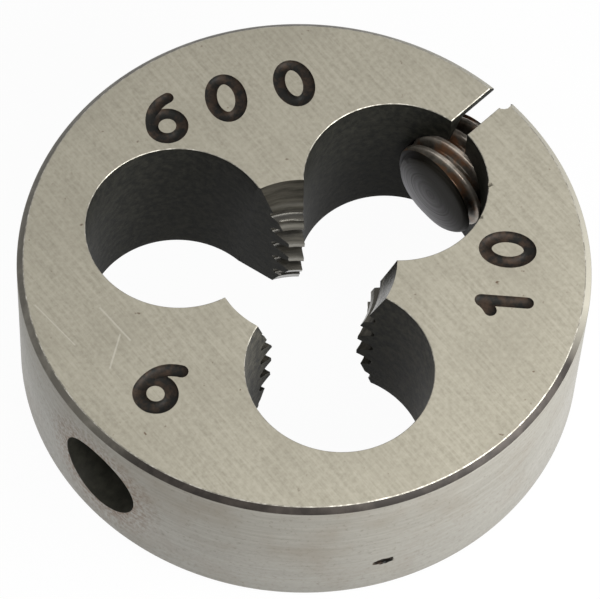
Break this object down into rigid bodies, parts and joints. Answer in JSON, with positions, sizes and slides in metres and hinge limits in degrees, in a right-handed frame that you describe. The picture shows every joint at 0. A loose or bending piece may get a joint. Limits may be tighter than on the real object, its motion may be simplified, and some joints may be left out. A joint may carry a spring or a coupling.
{
  "type": "adjustable round threading die",
  "caption": "Round split threading die with three chip holes, cutting lands and an adjusting screw in its slot.",
  "frame": {"origin": "on the die's axis, at the lower face", "axes": "+Z along the die's axis, out of the upper face; +X from the axis along the slot"},
  "size_m": [0.0206, 0.0206, 0.0063],
  "materials": {
    "ground_tool_steel": "ground and lightly rusted tool steel, blackened in the holes",
    "screw_steel": "turned steel, darkened, with rust in the thread"
  },
  "bodies": {
    "die": {"die_body": "ground_tool_steel"},
    "screw": {"adjusting_screw": "screw_steel"}
  },
  "joints": [
    {"name": "screw_turn", "type": "hinge", "parent": "die", "child": "screw", "pos_m": [0.00805, 0, 0.00317], "axis": [1, 0, 0], "range_deg": [-450, 450]}
  ]
}
